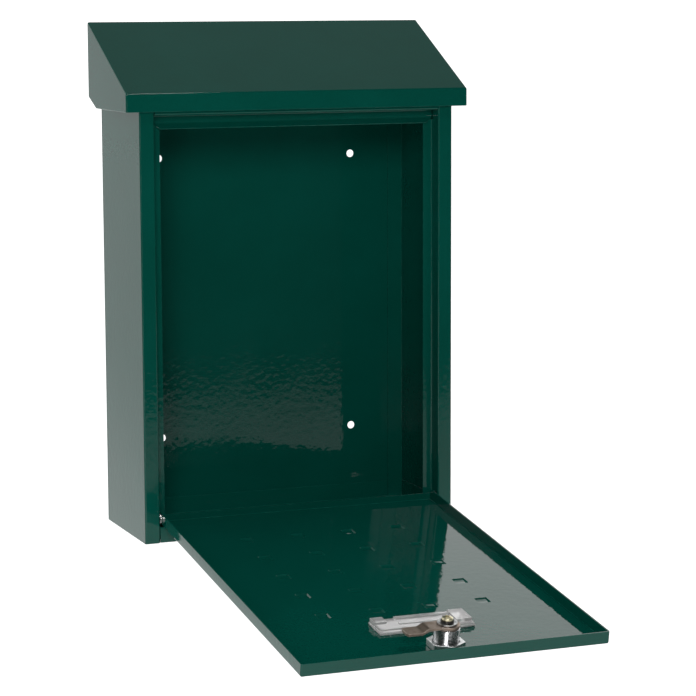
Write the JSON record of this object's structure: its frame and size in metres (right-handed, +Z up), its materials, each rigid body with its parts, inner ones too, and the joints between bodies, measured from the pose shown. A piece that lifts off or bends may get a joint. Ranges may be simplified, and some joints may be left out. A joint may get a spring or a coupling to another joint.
{
  "type": "wall mounted mailbox",
  "caption": "Sheet steel wall mailbox with a sloping lift-up posting lid, a drop-down front door with a cam lock, and a clear name plate holder.",
  "frame": {"origin": "centre of the four wall screw holes, on the rear face of the back panel", "axes": "+Y into the wall, -Y towards the person at the box, +X to that person's right, +Z up"},
  "size_m": [0.272, 0.3942, 0.4165],
  "materials": {
    "green_paint": "gloss powder coat, moss green",
    "zinc_steel": "zinc plated",
    "chrome": "bright chrome plate",
    "bronzed_steel": "bronze tinted plate, satin",
    "brass": "yellow zinc plate, bright",
    "clear_plastic": "clear moulding"
  },
  "bodies": {
    "box": {"back_panel": "green_paint", "side_panel_left": "green_paint", "side_panel_right": "green_paint", "bottom_panel": "green_paint", "top_rail": "green_paint", "hinge_rod": "zinc_steel", "rod_cap_left": "zinc_steel", "rod_cap_right": "zinc_steel", "door_washer_left": "zinc_steel", "door_washer_right": "zinc_steel"},
    "posting_lid": {"lid": "green_paint", "lid_ear_left": "green_paint", "lid_ear_right": "green_paint"},
    "door": {"door_panel": "green_paint", "door_pin_left": "zinc_steel", "door_pin_right": "zinc_steel", "name_plate_holder": "clear_plastic", "lock_body": "chrome", "lock_nut": "chrome"},
    "cam": {"lock_plug": "chrome", "lock_cam": "bronzed_steel", "cam_washer": "zinc_steel", "cam_spring_washer": "zinc_steel", "cam_screw": "brass"}
  },
  "joints": [
    {"name": "lid_hinge", "type": "hinge", "parent": "box", "child": "posting_lid", "pos_m": [0, -0.01133, 0.20692], "axis": [-1, 0, 0], "range_deg": [0, 70]},
    {"name": "door_hinge", "type": "hinge", "parent": "box", "child": "door", "pos_m": [0, -0.0955, -0.1539], "axis": [-1, 0, 0], "range_deg": [0, 98]},
    {"name": "lock_turn", "type": "hinge", "parent": "door", "child": "cam", "pos_m": [0, -0.37179, -0.19626], "axis": [0, -0.1392, 0.9903], "range_deg": [0, 90]}
  ]
}
